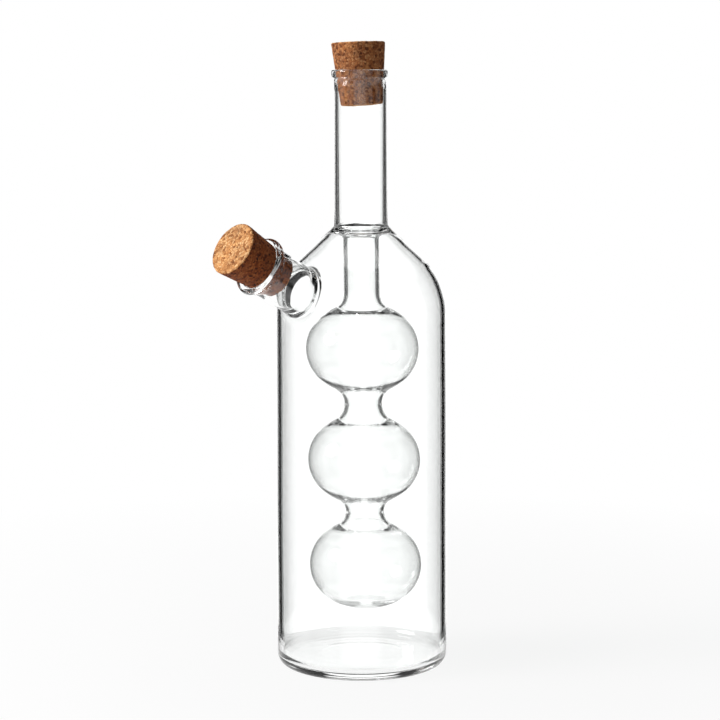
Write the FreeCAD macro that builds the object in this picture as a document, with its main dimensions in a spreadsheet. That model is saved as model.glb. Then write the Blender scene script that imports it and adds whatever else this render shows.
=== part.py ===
"""Oil and vinegar bottle: one blown-glass piece with two chambers, and a cork in each mouth.

The outer chamber is a cylinder with a round shoulder, filled and poured through a short spout
welded to the shoulder. The inner chamber hangs inside it from a ring seal at the foot of the
neck: a tube that opens into three flattened bulbs, one under the other.

Frame: +Z up, origin at the centre of the base on the surface it stands on, the spout in the
XZ plane and pointing to -X. Millimetres and degrees.
"""
import FreeCAD, Part
import math
import os
import Sketcher

DOCUMENT_NAME = "OilVinegarBottle"
SHEET_NAME = "Sizes"

# Driving dimensions. A height is above the standing surface.
SIZES = {
    # outer chamber
    "bodyRadius": 37.5,
    "bodyWall": 1.9,
    "domeHeight": 158.4,        # where the straight wall turns into the round shoulder
    "shoulderBend": 31.7,       # section radius of the round shoulder
    "shoulderSlope": 42.0,      # slope of the cone between the shoulder and the neck
    "heelBend": 4.6,            # rounding between wall and base, outside
    "floorBend": 4.0,           # the same rounding inside
    "floorHeight": 3.2,
    "dishRadius": 28.0,         # the base is pushed up a little inside this radius
    "dishFlat": 20.0,           # and is flat again inside this one
    "dishRise": 0.8,
    # neck
    "glassHeight": 264.0,
    "neckRadius": 11.75,
    "neckBore": 10.1,
    "neckFlare": 2.0,           # rounding from the shoulder into the neck
    "lipHeight": 3.6,
    "lipBend": 0.8,             # rounding over the top of a lip
    "lipEdge": 0.5,             # rounding of its inner edge
    "neckOverhang": 0.9,        # how far the lip stands out beyond the tube
    # ring seal and inner chamber
    "sealDrop": 0.2,            # from the neck's foot to where its bore starts to close in
    "sealBend": 2.4,
    "sealFillet": 3.0,          # glass in the corner between shoulder and inner tube
    "tubeRadius": 7.95,
    "tubeWall": 1.5,            # wall of the inner tube and of the waists
    "topBulbHeight": 141.7,
    "middleBulbHeight": 92.2,
    "lowBulbHeight": 44.7,
    "bulbRadius": 25.0,
    "bulbHalf": 20.5,           # from a bulb's middle to where its crown would cross the axis
    "bulbWall": 0.9,
    "sideBend": 18.0,           # section radius of a bulb's round side
    "tipRadius": 2.0,           # flat spot under the low bulb, where the glass was closed
    "topWaist": 8.3,            # outer radius of the waist under the top bulb
    "lowWaist": 8.5,
    "waistBend": 5.5,           # rounding between a waist, or the tube, and a bulb
    # spout, with its lengths along its own axis from the body's radius, out or in
    "spoutDrop": 9.2,           # from the foot of the shoulder to where the two axes cross
    "spoutRise": 29.2,
    "spoutLength": 29.7,
    "spoutRoot": 7.5,           # how far inside the shoulder its stub starts
    "spoutRadius": 10.9,
    "spoutBore": 9.5,
    "spoutOverhang": 1.9,
    "spoutHole": 8.4,           # radius of the hole through the shoulder
    "spoutHoleIn": 10.0,        # the hole runs from this far in
    "spoutHoleOut": 1.9,        # to this far out, where it widens to the bore
    "spoutWeld": 3.0,           # fillet of the weld
    # corks
    "corkTop": 11.75,
    "corkEnd": 9.2,
    "corkLength": 27.5,
    "corkEdge": 0.7,            # chamfer round both ends
    "corkPlay": 0.45,           # room between a cork and its mouth, were it upright in the middle
    "corkTouch": 0.1,           # what is left of it where the cork leans on the glass
    "neckCorkShown": 12.0,      # length left above the lip
    "leanDepth": 6.0,           # the neck's cork leans about a point this far below the lip
    "leanTurn": -42.0,          # the way its foot leans, from +X
    "spoutCorkShown": 14.5,
}

BULBS = ("topBulbHeight", "middleBulbHeight", "lowBulbHeight")
NECKS = ("tubeRadius", "topWaist", "lowWaist")      # the narrow part above each bulb
PAST = 1.0                      # how far a cutting outline runs past the end of the glass

# Middle of the shoulder's section arc, as a radius
SHOULDER_MIDDLE = "(Sizes.bodyRadius - Sizes.shoulderBend)"

# Height at which the neck's bore starts to close in on the inner tube: just under the place
# where the shoulder's cone, run on, meets the neck
SEAL = (f"(Sizes.domeHeight + Sizes.shoulderBend / cos(Sizes.shoulderSlope)"
        f" + ({SHOULDER_MIDDLE} - Sizes.neckRadius) * tan(Sizes.shoulderSlope) - Sizes.sealDrop)")

# Height at which the spout's axis crosses the bottle's, and its mouth's distance from there
SPOUT_PIVOT = "(Sizes.domeHeight - Sizes.spoutDrop)"
SPOUT_REACH = "(Sizes.bodyRadius + Sizes.spoutLength)"

# Fall of a cork's side in a length of one
CORK_TAPER = "(Sizes.corkTop - Sizes.corkEnd) / Sizes.corkLength"

# How far a leaning or lying cork moves off the middle of its mouth
CORK_SHIFT = "(Sizes.corkPlay - Sizes.corkTouch)"

# How far past a bulb's middle lies the centre of the crown's arc that meets its side smoothly
CROWN_DROP = ("((Sizes.bulbRadius - Sizes.sideBend) ^ 2 / (Sizes.bulbHalf - Sizes.sideBend)"
              " - (Sizes.bulbHalf - Sizes.sideBend)) / 2")


def make_sheet(doc):
    """Puts the driving dimensions in a spreadsheet, one alias for each."""
    sheet = doc.addObject("Spreadsheet::Sheet", SHEET_NAME)
    for row, (alias, value) in enumerate(SIZES.items(), start=1):
        sheet.set(f"A{row}", alias)
        sheet.set(f"B{row}", str(value))
        sheet.setAlias(f"B{row}", alias)
    doc.recompute()
    return sheet


class Spot:
    """A point of an outline. A tie is the expression that holds its radius or its height."""

    def __init__(self, x, z, x_tie=None, z_tie=None):
        self.at = FreeCAD.Vector(x, z, 0)
        self.ties = {"DistanceX": x_tie, "DistanceY": z_tie}


class Outline:
    """A closed chain of lines and arcs in a sketch: x is a radius, y a height.

    A tied coordinate or radius becomes a constraint bound to its expression. Spots without
    ties are found by the smooth joins.
    """

    AXIS = -2
    ORIGIN = (-1, 1)
    START, END, CENTRE = 1, 2, 3

    def __init__(self, body, name, first):
        self.body = body
        self.sketch = body.newObject("Sketcher::SketchObject", name)
        planes = {item.Role: item for item in body.Origin.OriginFeatures}
        self.sketch.AttachmentSupport = [(planes["XZ_Plane"], "")]
        self.sketch.MapMode = "FlatFace"
        self.first = self.last = self.spot(*first)
        self.open_end = None        # geometry and code of the end that the next piece joins
        self.open_start = None

    def value(self, expression):
        return float(self.sketch.evalExpression(expression))

    def spot(self, x, z):
        """A spot that two expressions hold."""
        return Spot(self.value(x), self.value(z), x, z)

    def loose(self, x, z):
        """A spot that starts at two expressions but is held by its neighbours."""
        return Spot(self.value(x), self.value(z))

    def bind(self, kind, expression, *where):
        limit = Sketcher.Constraint(kind, *where, self.value(expression))
        index = self.sketch.addConstraint(limit)
        self.sketch.setExpression(f"Constraints[{index}]", expression)

    def tie(self, spot, geometry, code):
        """Holds one point of a piece at its spot's ties; a radius of 0 is a point on the axis."""
        for kind, expression in spot.ties.items():
            if kind == "DistanceX" and expression == "0":
                on_axis = Sketcher.Constraint("PointOnObject", geometry, code, self.AXIS)
                self.sketch.addConstraint(on_axis)
            elif expression is not None:
                self.bind(kind, expression, *self.ORIGIN, geometry, code)

    def join(self, geometry, start, end, spot, smooth):
        """Joins a new piece to the end of the last one and moves on to its far end."""
        if self.open_end is None:
            self.open_start = (geometry, start)
            self.tie(self.first, geometry, start)
        else:
            kind = "Tangent" if smooth else "Coincident"
            self.sketch.addConstraint(Sketcher.Constraint(kind, *self.open_end, geometry, start))
        self.open_end = (geometry, end)
        self.last = spot
        self.tie(spot, geometry, end)

    def line(self, spot, smooth=False, upright=False, level=False):
        piece = Part.LineSegment(self.last.at, spot.at)
        geometry = self.sketch.addGeometry(piece, False)
        self.join(geometry, self.START, self.END, spot, smooth)
        if upright:
            self.sketch.addConstraint(Sketcher.Constraint("Vertical", geometry))
        if level:
            self.sketch.addConstraint(Sketcher.Constraint("Horizontal", geometry))

    def arc(self, spot, centre, radius=None, clockwise=False, smooth=False):
        """An arc to a spot, counter-clockwise unless told otherwise."""
        ends = (spot.at, self.last.at) if clockwise else (self.last.at, spot.at)
        angles = [math.atan2(end.y - centre.at.y, end.x - centre.at.x) for end in ends]
        circle = Part.Circle(centre.at, FreeCAD.Vector(0, 0, 1), (spot.at - centre.at).Length)
        geometry = self.sketch.addGeometry(Part.ArcOfCircle(circle, *angles), False)
        codes = (self.END, self.START) if clockwise else (self.START, self.END)
        self.join(geometry, *codes, spot, smooth)
        self.tie(centre, geometry, self.CENTRE)
        if radius is not None:
            self.bind("Radius", radius, geometry)

    def close(self):
        """Runs a line back to the first spot, and checks that nothing is left loose."""
        piece = Part.LineSegment(self.last.at, self.first.at)
        geometry = self.sketch.addGeometry(piece, False)
        for open_end, code in ((self.open_end, self.START), (self.open_start, self.END)):
            self.sketch.addConstraint(Sketcher.Constraint("Coincident", *open_end, geometry, code))
        self.body.Document.recompute()
        if not self.sketch.FullyConstrained:
            raise RuntimeError(f"{self.sketch.Name} is not fully constrained")
        return self.sketch


def turn(body, kind, name, sketch):
    """Revolves or grooves a sketch about the upright axis in its plane."""
    feature = body.newObject(f"PartDesign::{kind}", name)
    feature.Profile = sketch
    feature.ReferenceAxis = (sketch, ["V_Axis"])
    feature.Angle = 360
    body.Document.recompute()
    return feature


def along_spout(sketch):
    """Tips a sketch in its plane until its upright axis is the spout's axis."""
    sketch.setExpression("AttachmentOffset.Base.y", SPOUT_PIVOT)
    sketch.setExpression("AttachmentOffset.Rotation.Angle", "90 - Sizes.spoutRise")


def add_mouth(outline, bore, top, cork_shown):
    """Adds a mouth to a cutting outline that starts above it on the axis, down to the bore.

    The mouth tapers as its cork does, with the cork's play all round, until it meets the bore.
    """
    rim = f"Sizes.corkTop - {CORK_TAPER} * {cork_shown} + Sizes.corkPlay"
    mouth = f"{rim} - {CORK_TAPER} * Sizes.lipEdge"
    edge = f"{mouth} + Sizes.lipEdge"
    inner = f"{top} - Sizes.lipEdge"
    outline.line(outline.spot(edge, f"{top} + {PAST}"))
    outline.line(outline.spot(edge, top))
    outline.arc(outline.spot(mouth, inner), outline.loose(edge, inner), "Sizes.lipEdge")
    outline.line(outline.spot(bore, f"{top} - ({rim} - {bore}) / ({CORK_TAPER})"))


def add_lip(outline, tube, overhang, top, smooth=False):
    """Adds the outside of a tube and the bead round its mouth, and goes over to the axis."""
    rim = f"{tube} + {overhang}"
    foot = f"{top} - Sizes.lipHeight"
    swell = f"{foot} + {overhang}"
    shoulder = f"{top} - Sizes.lipBend"
    crest = f"{rim} - Sizes.lipBend"
    outline.line(outline.spot(tube, foot), smooth=smooth, upright=smooth)
    outline.arc(outline.spot(rim, swell), outline.loose(tube, swell), overhang)
    outline.line(outline.spot(rim, shoulder))
    outline.arc(outline.spot(crest, top), outline.loose(crest, shoulder), "Sizes.lipBend")
    outline.line(outline.spot("0", top))


def towards(start, end, distance):
    """The point at a distance from one point on the way to another."""
    return start + (end - start).normalize() * distance


def add_bulbs(outline, tube_wall, bulb_wall):
    """Adds the hanging vessel's profile, from its tube down to the axis under the last bulb.

    The walls say how far inside the glass's outer face the profile runs. Each neck, the
    rounding beside it, a bulb's crown and its side run smoothly into one another.
    """
    side_bend = f"Sizes.sideBend - {bulb_wall}"
    crown_bend = f"Sizes.bulbHalf + {CROWN_DROP} - {bulb_wall}"
    neck_bend = "Sizes.waistBend"
    crown, bend, rise = (outline.value(tie) for tie in (crown_bend, neck_bend, CROWN_DROP))

    def rounding(crown_at, above, neck):
        """The end of a neck, the centre of the rounding beside it and the crown's edge."""
        radius = f"Sizes.{neck} - {tube_wall}"
        reach = outline.value(radius) + bend
        level = crown_at.y + above * math.sqrt((crown + bend) ** 2 - reach ** 2)
        centre = Spot(reach, level)
        edge = towards(crown_at, centre.at, crown)
        return Spot(reach - bend, level, radius), centre, Spot(edge.x, edge.y)

    for bulb, neck, next_neck in zip(BULBS, NECKS, NECKS[1:] + (None,)):
        middle = outline.spot("Sizes.bulbRadius - Sizes.sideBend", f"Sizes.{bulb}")
        height = middle.at.y
        crown_at = FreeCAD.Vector(0, height - rise, 0)
        shoulder = towards(crown_at, middle.at, crown)
        neck_end, centre, edge = rounding(crown_at, 1, neck)
        outline.line(neck_end, smooth=True, upright=True)
        outline.arc(edge, centre, neck_bend, smooth=True)
        outline.arc(Spot(shoulder.x, shoulder.y), Spot(0, crown_at.y, "0"), crown_bend,
                    clockwise=True, smooth=True)
        outline.arc(Spot(shoulder.x, 2 * height - shoulder.y), middle, side_bend,
                    clockwise=True, smooth=True)
        under_at = FreeCAD.Vector(0, height + rise, 0)
        under = Spot(0, under_at.y, "0")
        if next_neck is None:
            tip = outline.value("Sizes.tipRadius")
            level = under_at.y - math.sqrt(crown ** 2 - tip ** 2)
            outline.arc(Spot(tip, level, "Sizes.tipRadius"), under, crown_bend,
                        clockwise=True, smooth=True)
            outline.line(Spot(0, level, "0"), level=True)
        else:
            neck_start, centre, edge = rounding(under_at, -1, next_neck)
            neck_start.ties.clear()
            outline.arc(edge, under, crown_bend, clockwise=True, smooth=True)
            outline.arc(neck_start, centre, neck_bend, smooth=True)


def dish(outline, height):
    """Adds the pushed-up middle of the base, from the axis out to its rim at a height."""
    rim = outline.spot("Sizes.dishRadius", height)
    outline.line(outline.spot("Sizes.dishFlat", f"{height} + Sizes.dishRise"))
    run = "(Sizes.dishRadius - Sizes.dishFlat)"
    bend = f"({run} ^ 2 + Sizes.dishRise ^ 2) / (2 * Sizes.dishRise)"
    centre = outline.loose("Sizes.dishFlat", f"{height} + Sizes.dishRise - {bend}")
    outline.arc(rim, centre, bend, clockwise=True)


def add_shoulder(outline, wall):
    """Adds the shoulder's arc, from the top of the straight wall to the foot of the cone.

    The wall says how far inside the glass's outer face the arc runs.
    """
    bend = f"Sizes.shoulderBend - {wall}"
    cone = outline.spot(f"{SHOULDER_MIDDLE} + ({bend}) * sin(Sizes.shoulderSlope)",
                        f"Sizes.domeHeight + ({bend}) * cos(Sizes.shoulderSlope)")
    outline.arc(cone, outline.loose(SHOULDER_MIDDLE, "Sizes.domeHeight"), bend)
    return cone


def beside_cone(outline, cone, reach, off):
    """A centre at a radius and at a distance off the cone, above it or below, and its foot."""
    slope = math.radians(outline.value("Sizes.shoulderSlope"))
    level = cone.at.y + (cone.at.x - reach) * math.tan(slope) + off / math.cos(slope)
    centre = FreeCAD.Vector(reach, level, 0)
    return centre, centre - off * FreeCAD.Vector(math.sin(slope), math.cos(slope), 0)


def envelope(body):
    """The outside of the bottle, from the base over shoulder and neck to the lip, as a solid."""
    outline = Outline(body, "EnvelopeOutline", ("0", "Sizes.dishRise"))
    dish(outline, "0")
    base = "Sizes.bodyRadius - Sizes.heelBend"
    outline.line(outline.spot(base, "0"))
    outline.arc(outline.spot("Sizes.bodyRadius", "Sizes.heelBend"),
                outline.loose(base, "Sizes.heelBend"), "Sizes.heelBend")
    outline.line(outline.spot("Sizes.bodyRadius", "Sizes.domeHeight"))
    cone = add_shoulder(outline, "0")
    neck, flare = (outline.value(f"Sizes.{name}") for name in ("neckRadius", "neckFlare"))
    centre, foot = beside_cone(outline, cone, neck + flare, flare)
    outline.line(Spot(foot.x, foot.y), smooth=True)
    outline.arc(Spot(neck, centre.y), Spot(centre.x, centre.y), "Sizes.neckFlare",
                clockwise=True, smooth=True)
    add_lip(outline, "Sizes.neckRadius", "Sizes.neckOverhang", "Sizes.glassHeight", smooth=True)
    turn(body, "Revolution", "Envelope", outline.close())


def spout_stub(body):
    """The outside of the spout, as a solid rod that starts inside the shoulder."""
    root = "Sizes.bodyRadius - Sizes.spoutRoot"
    outline = Outline(body, "SpoutOutline", ("0", root))
    outline.line(outline.spot("Sizes.spoutRadius", root))
    add_lip(outline, "Sizes.spoutRadius", "Sizes.spoutOverhang", SPOUT_REACH)
    along_spout(outline.close())
    turn(body, "Revolution", "SpoutStub", outline.sketch)


def weld(body):
    """The fillet of glass where the spout is welded to the shoulder."""
    stub = body.Tip
    seam = [f"Edge{number}" for number, edge in enumerate(stub.Shape.Edges, start=1)
            if not edge.Degenerated and on_seam(edge)]
    fillet = body.newObject("PartDesign::Fillet", "SpoutWeld")
    fillet.Base = (stub, seam)
    fillet.setExpression("Radius", "Sizes.spoutWeld")
    body.Document.recompute()


def on_seam(edge):
    """Whether an edge lies both on the outside of the shoulder and on that of the spout."""
    rise = math.radians(SIZES["spoutRise"])
    axis = FreeCAD.Vector(-math.cos(rise), 0, math.sin(rise))
    pivot = FreeCAD.Vector(0, 0, SIZES["domeHeight"] - SIZES["spoutDrop"])
    return all(abs(point.distanceToLine(pivot, axis) - SIZES["spoutRadius"]) < 0.01
               and abs(off_shoulder(point)) < 0.01 for point in edge.discretize(5))


def off_shoulder(point):
    """How far a point is outside the straight wall, the shoulder's arc or its cone."""
    bend, slope = SIZES["shoulderBend"], math.radians(SIZES["shoulderSlope"])
    out = math.hypot(point.x, point.y) - SIZES["bodyRadius"] + bend
    up = point.z - SIZES["domeHeight"]
    if up <= 0:
        return out - bend
    if up * math.tan(slope) > out:
        return out * math.sin(slope) + up * math.cos(slope) - bend
    return math.hypot(out, up) - bend


def chamber(body):
    """Hollows the outer chamber, all round and under the hanging bulbs."""
    outline = Outline(body, "ChamberOutline", ("0", "Sizes.floorHeight + Sizes.dishRise"))
    dish(outline, "Sizes.floorHeight")
    wall = "Sizes.bodyRadius - Sizes.bodyWall"
    floor = f"{wall} - Sizes.floorBend"
    foot = "Sizes.floorHeight + Sizes.floorBend"
    outline.line(outline.spot(floor, "Sizes.floorHeight"))
    outline.arc(outline.spot(wall, foot), outline.loose(floor, foot), "Sizes.floorBend")
    outline.line(outline.spot(wall, "Sizes.domeHeight"))
    cone = add_shoulder(outline, "Sizes.bodyWall")
    tube, fillet = (outline.value(f"Sizes.{name}") for name in ("tubeRadius", "sealFillet"))
    centre, foot = beside_cone(outline, cone, tube + fillet, -fillet)
    outline.line(Spot(foot.x, foot.y), smooth=True)
    outline.arc(Spot(tube, centre.y), Spot(centre.x, centre.y), "Sizes.sealFillet", smooth=True)
    add_bulbs(outline, "0", "0")
    turn(body, "Groove", "OuterChamber", outline.close())


def cavity(body):
    """Hollows the neck, the inner tube and the three bulbs, in one run from the mouth down."""
    outline = Outline(body, "CavityOutline", ("0", f"Sizes.glassHeight + {PAST}"))
    add_mouth(outline, "Sizes.neckBore", "Sizes.glassHeight", "Sizes.neckCorkShown")
    outline.line(outline.spot("Sizes.neckBore", SEAL))
    bore = "Sizes.tubeRadius - Sizes.tubeWall"
    bend, wide, narrow = (outline.value(tie) for tie in ("Sizes.sealBend", "Sizes.neckBore", bore))
    sweep = math.acos(1 - (wide - narrow) / (2 * bend))
    upper = outline.spot("Sizes.neckBore - Sizes.sealBend", SEAL)
    lower = upper.at + 2 * bend * FreeCAD.Vector(math.cos(sweep), -math.sin(sweep), 0)
    halfway = (upper.at + lower) / 2
    outline.arc(Spot(halfway.x, halfway.y), Spot(upper.at.x, upper.at.y), "Sizes.sealBend",
                clockwise=True, smooth=True)
    outline.arc(Spot(narrow, lower.y), Spot(lower.x, lower.y), "Sizes.sealBend", smooth=True)
    add_bulbs(outline, "Sizes.tubeWall", "Sizes.bulbWall")
    turn(body, "Groove", "InnerCavity", outline.close())


def spout_bore(body):
    """Opens the spout, from its mouth through the shoulder's wall into the outer chamber."""
    outline = Outline(body, "SpoutBoreOutline", ("0", f"{SPOUT_REACH} + {PAST}"))
    add_mouth(outline, "Sizes.spoutBore", SPOUT_REACH, "Sizes.spoutCorkShown")
    widens = "Sizes.bodyRadius + Sizes.spoutHoleOut"
    outline.line(outline.spot("Sizes.spoutBore", widens))
    ledge = "Sizes.spoutBore - Sizes.spoutHole"
    inner = f"{widens} - ({ledge})"
    outline.arc(outline.spot("Sizes.spoutHole", inner), outline.loose("Sizes.spoutBore", inner), ledge)
    start = "Sizes.bodyRadius - Sizes.spoutHoleIn"
    outline.line(outline.spot("Sizes.spoutHole", start))
    outline.line(outline.spot("0", start))
    along_spout(outline.close())
    turn(body, "Groove", "SpoutBore", outline.sketch)


def make_glass(doc):
    """The bottle: one piece of glass, cut hollow twice and opened through the spout."""
    body = doc.addObject("PartDesign::Body", "GlassBottle")
    body.Label = "glass_bottle"
    for step in (envelope, spout_stub, weld, chamber, cavity, spout_bore):
        step(body)
    return body


def make_cork(doc, name, label, foot, lean, direction):
    """A tapered cork: foot is where its narrow end's centre goes, as three expressions.

    The cork stands upright and is then tipped by an angle about a level direction.
    """
    body = doc.addObject("PartDesign::Body", name)
    body.Label = label
    outline = Outline(body, f"{name}Outline", ("0", "0"))
    outline.line(outline.spot("Sizes.corkEnd - Sizes.corkEdge", "0"))
    outline.line(outline.spot("Sizes.corkEnd", "Sizes.corkEdge"))
    outline.line(outline.spot("Sizes.corkTop", "Sizes.corkLength - Sizes.corkEdge"))
    outline.line(outline.spot("Sizes.corkTop - Sizes.corkEdge", "Sizes.corkLength"))
    outline.line(outline.spot("0", "Sizes.corkLength"))
    turn(body, "Revolution", f"{name}Turned", outline.close())
    position = f"vector({'; '.join(foot)})"
    axis = f"vector({'; '.join(direction)})"
    body.setExpression("Placement", f"placement({position}; rotation({axis}; {lean}))")
    doc.recompute()
    return body


def make_neck_cork(doc):
    """Leans in the neck, about a point below the lip, until its side touches the mouth."""
    lean = f"asin({CORK_SHIFT} / Sizes.leanDepth)"
    depth = "(Sizes.corkLength - Sizes.neckCorkShown - Sizes.leanDepth)"
    sideways = f"{depth} * sin({lean})"
    foot = (f"{sideways} * cos(Sizes.leanTurn)",
            f"{sideways} * sin(Sizes.leanTurn)",
            f"Sizes.glassHeight - Sizes.leanDepth - {depth} * cos({lean})")
    direction = ("sin(Sizes.leanTurn)", "-cos(Sizes.leanTurn)", "0")
    return make_cork(doc, "NeckCork", "neck_cork", foot, lean, direction)


def make_spout_cork(doc):
    """Lies in the spout, along it and on the lower side of its mouth."""
    depth = f"({SPOUT_REACH} + Sizes.spoutCorkShown - Sizes.corkLength)"
    foot = (f"-{depth} * cos(Sizes.spoutRise) - {CORK_SHIFT} * sin(Sizes.spoutRise)", "0",
            f"{SPOUT_PIVOT} + {depth} * sin(Sizes.spoutRise)"
            f" - {CORK_SHIFT} * cos(Sizes.spoutRise)")
    return make_cork(doc, "SpoutCork", "spout_cork", foot, "Sizes.spoutRise - 90", ("0", "1", "0"))


def check(doc, parts):
    """Stops if a feature failed, or a sub-part isn't one sound solid."""
    failed = [item.Name for item in doc.Objects if {"Invalid", "Error"} & set(item.State)]
    if failed:
        raise RuntimeError(f"failed features: {failed}")
    for part in parts:
        shape = part.Shape
        if shape.isNull() or not shape.isValid() or len(shape.Solids) != 1:
            raise RuntimeError(f"{part.Label} is not one sound solid")
        print(f"{part.Label}: {shape.Volume:.0f} mm3, {len(shape.Faces)} faces")


def main():
    doc = FreeCAD.newDocument(DOCUMENT_NAME)
    make_sheet(doc)
    parts = [make_glass(doc), make_neck_cork(doc), make_spout_cork(doc)]
    doc.recompute()
    check(doc, parts)
    os.makedirs("parts", exist_ok=True)
    for part in parts:
        part.Shape.exportStep(f"parts/{part.Label}.step")


main()
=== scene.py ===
"""Looks of the oil and vinegar bottle: hand-blown clear glass with two chambers, and two corks.

Everything is in metres in the CAD frame: +Z up, origin at the centre of the base, the spout in
the XZ plane and pointing to -X. Profiles are drawn in millimetres and scaled once.
"""

import math

import bmesh
import bpy
import numpy as np
from mathutils import Matrix, Quaternion, Vector, noise


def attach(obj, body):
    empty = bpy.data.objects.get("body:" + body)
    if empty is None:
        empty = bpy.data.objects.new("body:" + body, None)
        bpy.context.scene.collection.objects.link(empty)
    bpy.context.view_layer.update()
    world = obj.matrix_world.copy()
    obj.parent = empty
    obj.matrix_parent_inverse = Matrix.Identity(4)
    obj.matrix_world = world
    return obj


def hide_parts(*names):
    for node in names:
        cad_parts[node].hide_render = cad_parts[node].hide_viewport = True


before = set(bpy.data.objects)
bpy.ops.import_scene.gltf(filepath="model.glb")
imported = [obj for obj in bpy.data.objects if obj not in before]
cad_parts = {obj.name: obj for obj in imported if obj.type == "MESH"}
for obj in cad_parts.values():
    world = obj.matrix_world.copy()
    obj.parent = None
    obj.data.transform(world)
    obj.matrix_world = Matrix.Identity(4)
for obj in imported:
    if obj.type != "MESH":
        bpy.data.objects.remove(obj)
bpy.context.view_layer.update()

MM = 0.001

# ---------------------------------------------------------------- sizes, in millimetres
BODY_R, BODY_WALL, DOME_Z = 37.5, 1.95, 158.4
SHOULDER_BEND, SHOULDER_SLOPE = 31.7, math.radians(42)
SHOULDER_R = BODY_R - SHOULDER_BEND                 # radius at which the shoulder's arc is centred
HEEL, FLOOR_BEND, FLOOR_Z = 4.6, 4.0, 3.2
DISH_FLAT, DISH_R, DISH_RISE = 18.0, 29.0, 0.8
GLASS_Z, NECK_TOP_R, NECK_FOOT_R, FLARE = 264.0, 11.35, 11.75, 1.8
LIP_R, LIP_H, LIP_EDGE = 12.3, 4.0, 0.6
NECK_BORE, TUBE_R, TUBE_WALL = 10.25, 7.95, 1.2
SEAL_Z, SEAL_BEND, SEAL_FILLET = 195.5, 2.4, 3.0
BULB_R, BULB_HALF, LOW_HALF, BULB_SIDE = 25.0, 20.5, 19.6, 18.0
BULBS = (141.7, 92.2, 44.7)
NECKS = ((7.95, 6.5), (8.3, 8.0), (8.5, 6.6))       # radius above each bulb, and its rounding
THIN, TIP_THICK, COLLAR = 0.22, 2.6, 0.4
COLLAR_R, COLLAR_SPREAD = 11.0, 1.8                 # where the crowns of the bulbs are thicker
THINS_FROM, THINS_OVER = 8.5, 13.0                  # radius at which the wall starts to thin
TIP_FROM, TIP_OVER = 1.0, 15.0                      # and the same under the low bulb
SPOUT_PIVOT, SPOUT_RISE, SPOUT_END = 149.2, math.radians(29.2), 67.2
SPOUT_R, SPOUT_BORE, SPOUT_HOLE, SPOUT_LIP, SPOUT_LIP_H = 10.9, 9.8, 8.6, 13.1, 3.8
SPOUT_WIDENS = 46.0                                 # where the bore starts, along the spout
WELD, HOLE_EDGE = 3.2, 0.9
WELD_SKIRT, WELD_CLEAR = 1.3, 2.3                   # past the weld: the spout's last ring, and
HOLE_SKIRT, HOLE_CLEAR = 1.1, 2.2                   # where the body's own faces start
CORK_TOP, CORK_FOOT, CORK_LEN = 11.75, 9.2, 27.5
CORK_TAPER = (CORK_TOP - CORK_FOOT) / CORK_LEN
CORK_PLAY, CORK_TOUCH = 0.45, 0.1
NECK_CORK_SHOWN, SPOUT_CORK_SHOWN, LEAN_DEPTH, LEAN_TURN = 12.0, 15.6, 6.0, math.radians(-42)

# how unevenly the glass is blown
VESSEL_LOW, VESSEL_TOP = 20.0, 190.0            # heights between which the hanging vessel leans
VESSEL_WITHIN = 28.0                            # and the radius that it stays within
LEAN_OF_VESSEL = 0.0113         # sideways per length of the hanging vessel
VESSEL_WAVE = 0.004             # share of its radius by which the vessel is out of round
LIP_FOOT_Z, LIP_ASIDE = 255.0, 0.45
SLIM = 14.0                     # radius that neck, lip, tube and seal stay within
BASE_SWELL = 0.012              # how much wider the body is at its base than at its shoulder
BODY_OVAL, BODY_WAVE = 0.0022, 0.0014           # shares of its radius, round it and up it
SEAL_LUMPS, SEAL_SPREAD = 0.022, 2.2            # share of the radius, and over what height
SHOULDER_EASE = 4.5             # how far the shoulder's arc and cone run into each other

# how the corks are worn
PITS, PIT_SIZE, PIT_DEPTH, PIT_STRETCH = 60, (0.35, 1.0), (0.3, 0.75), (0.6, 1.0)
GRANULE, GRANULE_RELIEF = 1.25, 0.11
WORN_EDGE, CORK_CHAMFER, FOOT_HOLLOW = 1.6, 0.45, 0.5
NECK_CORK_SLANT, SPOUT_CORK_SLANT = 0.9, 0.3

AROUND = 240            # faces round the bottle's axis, and half as many round the inner vessel
SPOUT_AROUND = 120
CORK_AROUND = 200
FLOOR_AROUND = 96

# ---------------------------------------------------------------- colours, light and stage
WHITE = (1, 1, 1, 1)
GRAIN_COLOURS = ((0.0, (0.26, 0.095, 0.028)), (0.15, (0.46, 0.2, 0.062)), (0.35, (0.6, 0.29, 0.11)),
                 (0.65, (0.7, 0.38, 0.16)), (1.0, (0.78, 0.49, 0.25)))
BROAD_SHADES = ((0.3, (0.72, 0.66, 0.6)), (0.7, (1.12, 1.1, 1.05)))
GAP_TINT, SPECK_TINT = (0.4, 0.22, 0.12), (0.22, 0.12, 0.07)
# painted shade: the side tint darkens the corks' sides against their ends, which face the lamps
# the pit tint is partly the pits' own darker colour and partly painted shade in their hollows
SIDE_SHADE_TINT, PIT_COLOUR_AND_SHADE = (0.42, 0.22, 0.12), (0.26, 0.14, 0.08)
# how much of that painted shade each cork's side takes; the spout cork's side takes the most
NECK_CORK_SIDE_SHADE, SPOUT_CORK_SIDE_SHADE = 0.7, 1.0
GRAINS_PER_M, SPECKS_PER_M, GRAIN_WAVER = 800.0, 1150.0, 0.0007

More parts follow.
